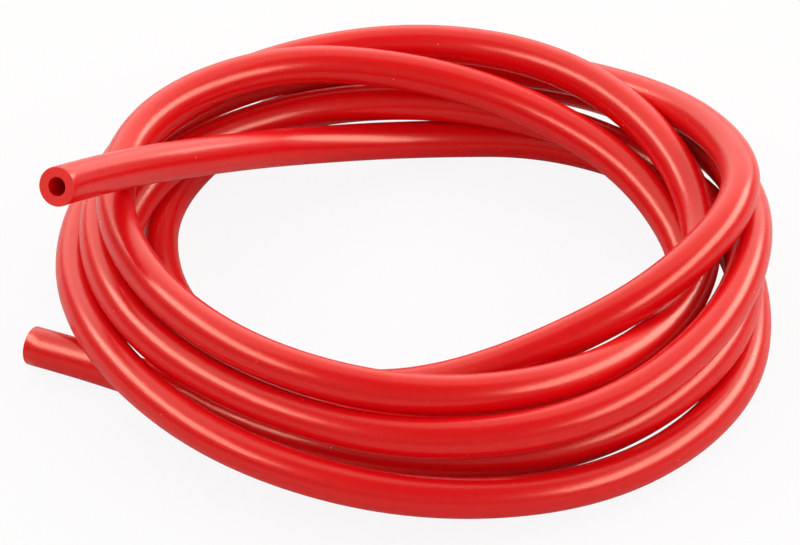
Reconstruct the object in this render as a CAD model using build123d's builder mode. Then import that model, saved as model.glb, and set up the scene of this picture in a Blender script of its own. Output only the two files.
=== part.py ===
from build123d import *
import math
import os

# Red rubber vacuum tubing, lying as one loose coil of six turns, in millimetres
tube_od = 10.0
bore = 4.8

# The ring that the turns wander about: its radius and its middle, measured from the part's origin
ring_radius = 80.0
ring_x = 4.0
ring_y = -1.3
corners_per_turn = 12

# An arc between two runs takes this share of the shorter run, on each side of its corner
arc_share = 0.45

# Corners of the route: where each stands on the ring's clock, in degrees clockwise from +X,
# then how far it stands out from the ring and up from the floor, in tube diameters
upper_end = [(162.5, 1.25, 5.1), (177.4, -0.45, 3.95)]
lower_end = [(2325.7, 2, 0)]

# One row for each half turn, starting at the back left
first_corner = 210.0
half_turns = [
    # off the pile and down along the back, then flat on the floor round the right and the front
    [(-2.4, 2.3), (-2.1, 0.95), (-1.4, 0.15), (-0.1, 0), (0.75, 0), (0.8, 0)],
    [(1.45, 0), (1.7, 0.1), (1.45, 0.45), (1.2, 0.9), (1.05, 1.2), (1, 1)],
    # round the back and up over the pile at the right, then inward and down inside the front
    [(1.15, 1.05), (1.35, 1.1), (1.05, 1.2), (0.9, 1.5), (0.75, 2.4), (0.65, 3.15)],
    [(-0.75, 2.75), (-2.05, 1.75), (-2.65, 0.75), (-2.85, 0.2), (-2.35, 0), (-1.4, 0)],
    # along the inside, out to the right again, then over the front and up the left
    [(-0.05, 0), (1.1, 0), (1.8, 0.3), (1.65, 0.7), (1.1, 1.35), (0.85, 2.15)],
    [(0.85, 2.05), (0.95, 1.7), (0.55, 1.55), (0.1, 1.65), (0.2, 1.85), (0.35, 1.85)],
    # over the back, down the right, and up across the front as the top turn
    [(0.6, 1.95), (0.3, 2.2), (0.1, 2.45), (-0.1, 2.5), (-0.35, 2.05), (-0.45, 1.45)],
    [(-0.55, 1.45), (-0.35, 1.9), (-0.25, 2.3), (-0.35, 2.6), (-0.4, 2.7), (-0.1, 2.8)],
    # over the back at the top, then down inside the right and under the front
    [(-0.05, 2.85), (-0.65, 2.75), (-1.35, 2.35), (-1.55, 1.85), (-1.15, 1.2), (-0.65, 0.4)],
    [(-1, 0.1), (-1.55, 0), (-1.8, 0), (-1.8, 0), (-1, 0.15), (0, 0.65)],
    # the last turn, under the others at the back, out to the right and back along the front
    [(-0.05, 1.1), (-0.7, 1.15), (-0.9, 1.2), (-0.6, 1.05), (-0.15, 0.8), (0.7, 1.05)],
    [(0.85, 0.95), (0.3, 0.4), (-0.2, 0.4), (-0.35, 0.5), (-0.15, 0.15)],
]


def corner(clock, out, up):
    reach = ring_radius + out * tube_od
    turned = math.radians(clock)
    along = ring_x + reach * math.cos(turned)
    across = ring_y - reach * math.sin(turned)
    return Vector(along, across, tube_od / 2 + up * tube_od)


def lay_route():
    route = [corner(*place) for place in upper_end]
    clock = first_corner
    for half_turn in half_turns:
        for out, up in half_turn:
            route.append(corner(clock, out, up))
            clock += 360 / corners_per_turn
    return route + [corner(*place) for place in lower_end]


def arc_radii(route):
    radii = []
    for before, here, after in zip(route, route[1:], route[2:]):
        shorter = min((here - before).length, (after - here).length)
        half_turned = math.radians((here - before).get_angle(after - here) / 2)
        radii.append(arc_share * shorter / math.tan(half_turned))
    return radii


route = lay_route()
radii = arc_radii(route)

# The tube: a ring section carried along the route, open at both cut ends
with BuildPart() as tubing:
    with BuildLine() as path:
        FilletPolyline(*route, radius=radii)
    with BuildSketch(Plane(origin=path.line @ 0, z_dir=path.line % 0)):
        Circle(tube_od / 2)
        Circle(bore / 2, mode=Mode.SUBTRACT)
    sweep()
tubing.part.label = "tubing"

section = math.pi * (tube_od**2 - bore**2) / 4
length = path.wires()[0].length
print("arc radii", [round(radius) for radius in radii])
print("length", round(length, 1))
print("volume over section times length", round(tubing.part.volume / (section * length), 4))
print("box", tubing.part.bounding_box())

os.makedirs("parts", exist_ok=True)
export_step(tubing.part, "parts/tubing.step")
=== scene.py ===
import math

import bmesh
import bpy
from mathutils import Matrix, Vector


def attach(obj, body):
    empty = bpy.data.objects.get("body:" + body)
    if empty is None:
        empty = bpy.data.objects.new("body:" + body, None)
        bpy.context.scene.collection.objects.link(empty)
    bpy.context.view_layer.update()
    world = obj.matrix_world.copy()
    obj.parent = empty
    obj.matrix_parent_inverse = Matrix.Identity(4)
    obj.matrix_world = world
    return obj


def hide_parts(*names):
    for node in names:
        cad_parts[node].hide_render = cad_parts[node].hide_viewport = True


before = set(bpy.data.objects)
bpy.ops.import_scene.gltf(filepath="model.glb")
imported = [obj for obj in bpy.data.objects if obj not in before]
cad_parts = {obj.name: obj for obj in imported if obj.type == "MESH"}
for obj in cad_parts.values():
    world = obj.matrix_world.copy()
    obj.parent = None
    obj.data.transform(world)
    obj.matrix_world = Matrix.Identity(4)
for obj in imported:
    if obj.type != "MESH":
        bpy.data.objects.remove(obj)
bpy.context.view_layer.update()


# Camera, at the photograph's angle: metres and degrees
shot = {
    "aim": (0.0, -0.0043, 0.012),
    "elevation": 36.0,
    "distance": 1.085,
    "lens": 190.67,  # mm
    "sensor": 36.0,  # mm
    "nearest": 0.05,
    "farthest": 20.0,
}


def placeCamera(shot):
    lens = bpy.data.cameras.new("shotCamera")
    lens.lens = shot["lens"]
    lens.sensor_width = shot["sensor"]
    lens.clip_start, lens.clip_end = shot["nearest"], shot["farthest"]
    camera = bpy.data.objects.new("shotCamera", lens)
    bpy.context.scene.collection.objects.link(camera)
    tilt = math.radians(shot["elevation"])
    back = Vector((0, -math.cos(tilt), math.sin(tilt)))
    camera.location = Vector(shot["aim"]) + back * shot["distance"]
    camera.rotation_euler = (math.pi / 2 - tilt, 0, 0)
    bpy.context.scene.camera = camera


placeCamera(shot)
print("camera placed")


# The tube, in metres, with its route in tube diameters about a ring
tube = {
    "diameter": 0.010,
    "bore": 0.0048,
    "length": 2.935,
    "ringRadius": 0.080,
    "ringCentre": (0.0040, -0.0013),
    "cornersPerTurn": 12,
    "firstCorner": 210.0,  # degrees on the ring's clock, clockwise from +X
    "sides": 36,  # faces round the tube
    "stepsPerCorner": 16,  # rings of faces between two route points
    "cutRounding": 0.00018,  # the knife leaves the rim's edge this soft
    "roundingSteps": 2,
}

# where the two ends lead off: degrees on the clock, then out from the ring and up, in diameters
upperEnd = [(162.5, 1.25, 5.1), (177.4, -0.45, 3.95)]
lowerEnd = [(2325.7, 2, 0)]

# one row for each half turn: how far out from the ring and up from the floor, in diameters
halfTurns = [
    # off the pile and down along the back, then flat on the floor round the right and the front
    [(-2.4, 2.3), (-2.1, 0.95), (-1.4, 0.15), (-0.1, 0), (0.75, 0), (0.8, 0)],
    [(1.4, 0), (1.6, 0.1), (1.4, 0.45), (1.2, 0.9), (1, 1.2), (1, 1)],
    # round the back and up over the pile at the right, then inward and down inside the front
    [(1.15, 1.05), (1.35, 1.1), (1.05, 1.2), (0.9, 1.5), (0.75, 2.4), (0.65, 3.15)],
    [(-0.75, 2.75), (-2.05, 1.75), (-2.65, 0.75), (-2.85, 0.2), (-2.35, 0), (-1.4, 0)],
    # along the inside, out to the right again, then over the front and up the left
    [(-0.15, 0), (1, 0), (1.8, 0.3), (1.65, 0.7), (1.1, 1.35), (0.85, 2.15)],
    [(0.85, 2.05), (0.95, 1.7), (0.55, 1.55), (0.1, 1.65), (0.25, 1.85), (0.35, 1.85)],
    # over the back, down the right, and up across the front as the top turn
    [(0.6, 1.95), (0.3, 2.2), (0.1, 2.45), (-0.1, 2.5), (-0.35, 2.05), (-0.45, 1.45)],
    [(-0.55, 1.5), (-0.35, 1.95), (-0.25, 2.3), (-0.35, 2.6), (-0.4, 2.7), (-0.1, 2.8)],
    # over the back at the top, then down inside the right and under the front
    [(0.05, 2.85), (-0.6, 2.8), (-1.35, 2.35), (-1.55, 1.85), (-1.15, 1.2), (-0.65, 0.4)],
    [(-1, 0.1), (-1.55, 0), (-1.8, 0), (-1.8, 0), (-0.9, 0.15), (0, 0.65)],
    # the last turn, under the others at the back, out to the right and back along the front
    [(-0.05, 1.1), (-0.65, 1.2), (-0.95, 1.2), (-0.7, 1), (0.05, 0.8), (0.7, 1.05)],
    [(0.85, 0.95), (0.4, 0.4), (-0.2, 0.4), (-0.35, 0.5), (-0.15, 0.15)],
]


# an up of 0 lies on the floor, with its middle half a diameter above it
def routePoint(clock, out, up):
    reach = tube["ringRadius"] + out * tube["diameter"]
    turned = math.radians(clock)
    x, y = tube["ringCentre"]
    height = (0.5 + up) * tube["diameter"]
    return (x + reach * math.cos(turned), y - reach * math.sin(turned), height)


def layRoute():
    route = [routePoint(*place) for place in upperEnd]
    clock = tube["firstCorner"]
    for halfTurn in halfTurns:
        for out, up in halfTurn:
            route.append(routePoint(clock, out, up))
            clock += 360 / tube["cornersPerTurn"]
    return route + [routePoint(*place) for place in lowerEnd]


def routeCurve(route, steps):
    line = bpy.data.curves.new("tubingRoute", "CURVE")
    line.dimensions = "3D"
    line.resolution_u = steps
    spline = line.splines.new("NURBS")
    spline.points.add(len(route) - 1)
    for point, place in zip(spline.points, route):
        point.co = (*place, 1.0)
    spline.order_u = 3
    spline.use_endpoint_u = True
    return bpy.data.objects.new("tubingRoute", line)


def meshFrom(obj):
    bpy.context.scene.collection.objects.link(obj)
    bpy.context.view_layer.update()
    seen = obj.evaluated_get(bpy.context.evaluated_depsgraph_get())
    made = bpy.data.meshes.new_from_object(seen)
    bpy.context.scene.collection.objects.unlink(obj)
    return made


# the rims of the two cut faces, where the finishes meet, lose their sharp edge
def softenCut(mesh):
    bm = bmesh.new()
    bm.from_mesh(mesh)
    rims = []
    for edge in bm.edges:
        finishes = {face.material_index for face in edge.link_faces}
        if len(finishes) > 1:
            rims.append(edge)
    bmesh.ops.bevel(bm, geom=rims, affect="EDGES", offset=tube["cutRounding"],
                    segments=tube["roundingSteps"], profile=0.5, material=-1,
                    offset_type="OFFSET")
    for face in bm.faces:
        face.smooth = face.material_index == 0
    bm.to_mesh(mesh)
    bm.free()


def makeTubing():
    line = routeCurve(layRoute(), tube["stepsPerCorner"])
    path = [tuple(vertex.co) for vertex in meshFrom(line).vertices]
    line.data.bevel_depth = tube["diameter"] / 2
    line.data.bevel_resolution = tube["sides"] // 2 - 2  # which gives that many sides
    skin = bpy.data.objects.new("tubingSkin", meshFrom(line))
    wall = skin.modifiers.new("wall", "SOLIDIFY")
    wall.thickness = (tube["diameter"] - tube["bore"]) / 2
    wall.offset = -1.0  # inward, so the outside keeps its diameter
    wall.material_offset_rim = 1  # the cut faces get the second finish
    skin.data.materials.clear()
    for finish in (rubberFinish(), cutFinish()):
        skin.data.materials.append(finish)
    solid = meshFrom(skin)
    softenCut(solid)
    solid.name = "tubingTube"
    tubing = bpy.data.objects.new("tubingTube", solid)
    bpy.context.scene.collection.objects.link(tubing)
    return tubing, path


# the skin: its grain in specks per metre, and its bump's depth in metres
rubberLook = {
    "deep": (0.72, 0.001, 0.005, 1),
    "fresh": (0.78, 0.003, 0.007, 1),
    "rough": (0.23, 0.29),
    "gloss": 0.42,  # how strongly the skin mirrors, 0.5 is plain
    "glossTint": (1.0, 0.88, 0.70, 1),
    "refraction": 1.5,
    "grain": 650.0,
    "grainDetail": 3.0,
    "bump": 0.3,
    "bumpDepth": 0.00002,
    "dust": 130.0,  # one cell in this many per metre may hold a pale fleck
    "dustSize": 0.026,  # in cells
    "dustPale": (0.90, 0.30, 0.24, 1),
}

# the cut faces, duller than the skin
cutLook = {
    "red": (0.84, 0.014, 0.010, 1),
    "rough": 0.62,
    "gloss": 0.3,
    "grain": 1500.0,
    "grainDetail": 2.0,
    "bump": 0.5,
    "bumpDepth": 0.00005,
}


def newMaterial(name):
    material = bpy.data.materials.new(name)
    material.use_nodes = True
    tree = material.node_tree
    return material, tree.nodes, tree.links, tree.nodes["Principled BSDF"]


# fine noise that lifts the surface a little
def addGrain(nodes, links, shader, place, look):
    grain = nodes.new("ShaderNodeTexNoise")
    grain.inputs["Scale"].default_value = look["grain"]
    grain.inputs["Detail"].default_value = look["grainDetail"]
    links.new(place, grain.inputs["Vector"])
    bump = nodes.new("ShaderNodeBump")
    bump.inputs["Strength"].default_value = look["bump"]
    bump.inputs["Distance"].default_value = look["bumpDepth"]
    links.new(grain.outputs["Fac"], bump.inputs["Height"])
    links.new(bump.outputs["Normal"], shader.inputs["Normal"])
    return grain.outputs["Fac"]


# 1 inside a few small flecks, one in some of the cells, and 0 elsewhere
def addFlecks(nodes, links, place, look):
    cells = nodes.new("ShaderNodeTexVoronoi")
    cells.inputs["Scale"].default_value = look["dust"]
    links.new(place, cells.inputs["Vector"])
    fleck = nodes.new("ShaderNodeMath")
    fleck.operation = "LESS_THAN"
    fleck.inputs[1].default_value = look["dustSize"]
    links.new(cells.outputs["Distance"], fleck.inputs[0])
    return fleck.outputs["Value"]


def rubberFinish():
    material, nodes, links, shader = newMaterial("redRubber")
    place = nodes.new("ShaderNodeTexCoord").outputs["Object"]
    grain = addGrain(nodes, links, shader, place, rubberLook)
    tint = nodes.new("ShaderNodeMix")
    tint.data_type = "RGBA"
    tint.inputs["A"].default_value = rubberLook["deep"]
    tint.inputs["B"].default_value = rubberLook["fresh"]
    links.new(grain, tint.inputs["Factor"])
    dusty = nodes.new("ShaderNodeMix")
    dusty.data_type = "RGBA"
    dusty.inputs["B"].default_value = rubberLook["dustPale"]
    links.new(addFlecks(nodes, links, place, rubberLook), dusty.inputs["Factor"])
    links.new(tint.outputs["Result"], dusty.inputs["A"])
    links.new(dusty.outputs["Result"], shader.inputs["Base Color"])
    rough = nodes.new("ShaderNodeMapRange")
    smoothest, roughest = rubberLook["rough"]
    rough.inputs["To Min"].default_value = smoothest
    rough.inputs["To Max"].default_value = roughest
    links.new(grain, rough.inputs["Value"])
    links.new(rough.outputs["Result"], shader.inputs["Roughness"])
    shader.inputs["IOR"].default_value = rubberLook["refraction"]
    shader.inputs["Specular IOR Level"].default_value = rubberLook["gloss"]
    shader.inputs["Specular Tint"].default_value = rubberLook["glossTint"]
    return material


def cutFinish():
    material, nodes, links, shader = newMaterial("cutRubber")
    place = nodes.new("ShaderNodeTexCoord").outputs["Object"]
    addGrain(nodes, links, shader, place, cutLook)
    shader.inputs["Base Color"].default_value = cutLook["red"]
    shader.inputs["Roughness"].default_value = cutLook["rough"]
    shader.inputs["Specular IOR Level"].default_value = cutLook["gloss"]
    return material


tubing, path = makeTubing()
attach(tubing, "root")
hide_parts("tubing")
print("tubing laid:", len(path), "points,", len(tubing.data.polygons), "faces")


# Floor, sky and lamps, in metres
room = {
    "floorSize": 6.0,
    "floorWhite": (0.74, 0.74, 0.74, 1),
    "floorRough": 0.9,
    "floorGloss": 0.1,
    # the camera sees this share of plain white in the floor, and its shadow in the rest
    "seenWhite": 0.9,
    "sky": 0.22,
    "skySeen": 1.0,
    "boxWarmth": (1.0, 0.95, 0.88),
    # each soft box: its middle, width, height, brightness, and how much brighter in gloss
    "boxes": {
        "backSweep": ((0.0, 1.3, 0.68), 2.6, 1.2, 1.7, 0.4),
        "overheadBox": ((0.0, 0.5, 1.3), 1.8, 0.9, 1.4, 0.0),
        "leftStrip": ((-0.74, -0.05, 0.70), 1.4, 0.30, 2.9, 10.0),
        "rightStrip": ((0.84, 0.0, 0.56), 1.8, 0.36, 3.1, 8.0),
        "frontFill": ((0.0, -1.3, 0.55), 2.0, 0.9, 0.9, 0.0),
    },
    "notInGloss": ["frontFill"],
    "shineInFront": 0.97,  # a box's gloss stands this much nearer, clear of its face
}


# white in the camera's eye without more light on the tube
def seenByCamera(nodes, links, share):
    rays = nodes.new("ShaderNodeLightPath")
    seen = nodes.new("ShaderNodeMath")
    seen.operation = "MULTIPLY"
    seen.inputs[1].default_value = share
    links.new(rays.outputs["Is Camera Ray"], seen.inputs[0])
    return seen.outputs["Value"]


def makeFloor():
    bm = bmesh.new()
    bmesh.ops.create_grid(bm, x_segments=1, y_segments=1, size=room["floorSize"] / 2)
    sheet = bpy.data.meshes.new("floor")
    bm.to_mesh(sheet)
    bm.free()
    floor = bpy.data.objects.new("floor", sheet)
    bpy.context.scene.collection.objects.link(floor)
    material, nodes, links, shader = newMaterial("whiteFloor")
    shader.inputs["Base Color"].default_value = room["floorWhite"]
    shader.inputs["Roughness"].default_value = room["floorRough"]
    shader.inputs["Specular IOR Level"].default_value = room["floorGloss"]
    plainWhite = nodes.new("ShaderNodeEmission")
    both = nodes.new("ShaderNodeMixShader")
    links.new(seenByCamera(nodes, links, room["seenWhite"]), both.inputs["Fac"])
    links.new(shader.outputs["BSDF"], both.inputs[1])
    links.new(plainWhite.outputs["Emission"], both.inputs[2])
    links.new(both.outputs["Shader"], nodes["Material Output"].inputs["Surface"])
    sheet.materials.append(material)


def makeWorld():
    world = bpy.data.worlds.new("studio")
    bpy.context.scene.world = world
    world.use_nodes = True
    nodes, links = world.node_tree.nodes, world.node_tree.links
    rays = nodes.new("ShaderNodeLightPath")
    strength = nodes.new("ShaderNodeMapRange")
    strength.inputs["To Min"].default_value = room["sky"]
    strength.inputs["To Max"].default_value = room["skySeen"]
    links.new(rays.outputs["Is Camera Ray"], strength.inputs["Value"])
    background = nodes["Background"]
    background.inputs["Color"].default_value = (1, 1, 1, 1)
    links.new(strength.outputs["Result"], background.inputs["Strength"])


def hangBox(name, place, wide, high, bright):
    box = bpy.data.lights.new(name, "AREA")
    box.shape = "RECTANGLE"
    box.size, box.size_y = wide, high
    box.energy = math.pi * wide * high * bright
    box.color = room["boxWarmth"]
    lamp = bpy.data.objects.new(name, box)
    lamp.location = place
    lamp.rotation_euler = Vector(place).to_track_quat("Z", "Y").to_euler()
    bpy.context.scene.collection.objects.link(lamp)
    return lamp


def makeLamps():
    for name, (place, wide, high, bright, shine) in room["boxes"].items():
        lamp = hangBox(name, place, wide, high, bright)
        lamp.visible_glossy = name not in room["notInGloss"]
        if shine:
            nearer = tuple(Vector(place) * room["shineInFront"])
            hangBox(name + "Shine", nearer, wide, high, shine).visible_diffuse = False


makeFloor()
makeWorld()
makeLamps()
print("floor and lights set")

bpy.context.scene.view_settings.view_transform = "Standard"
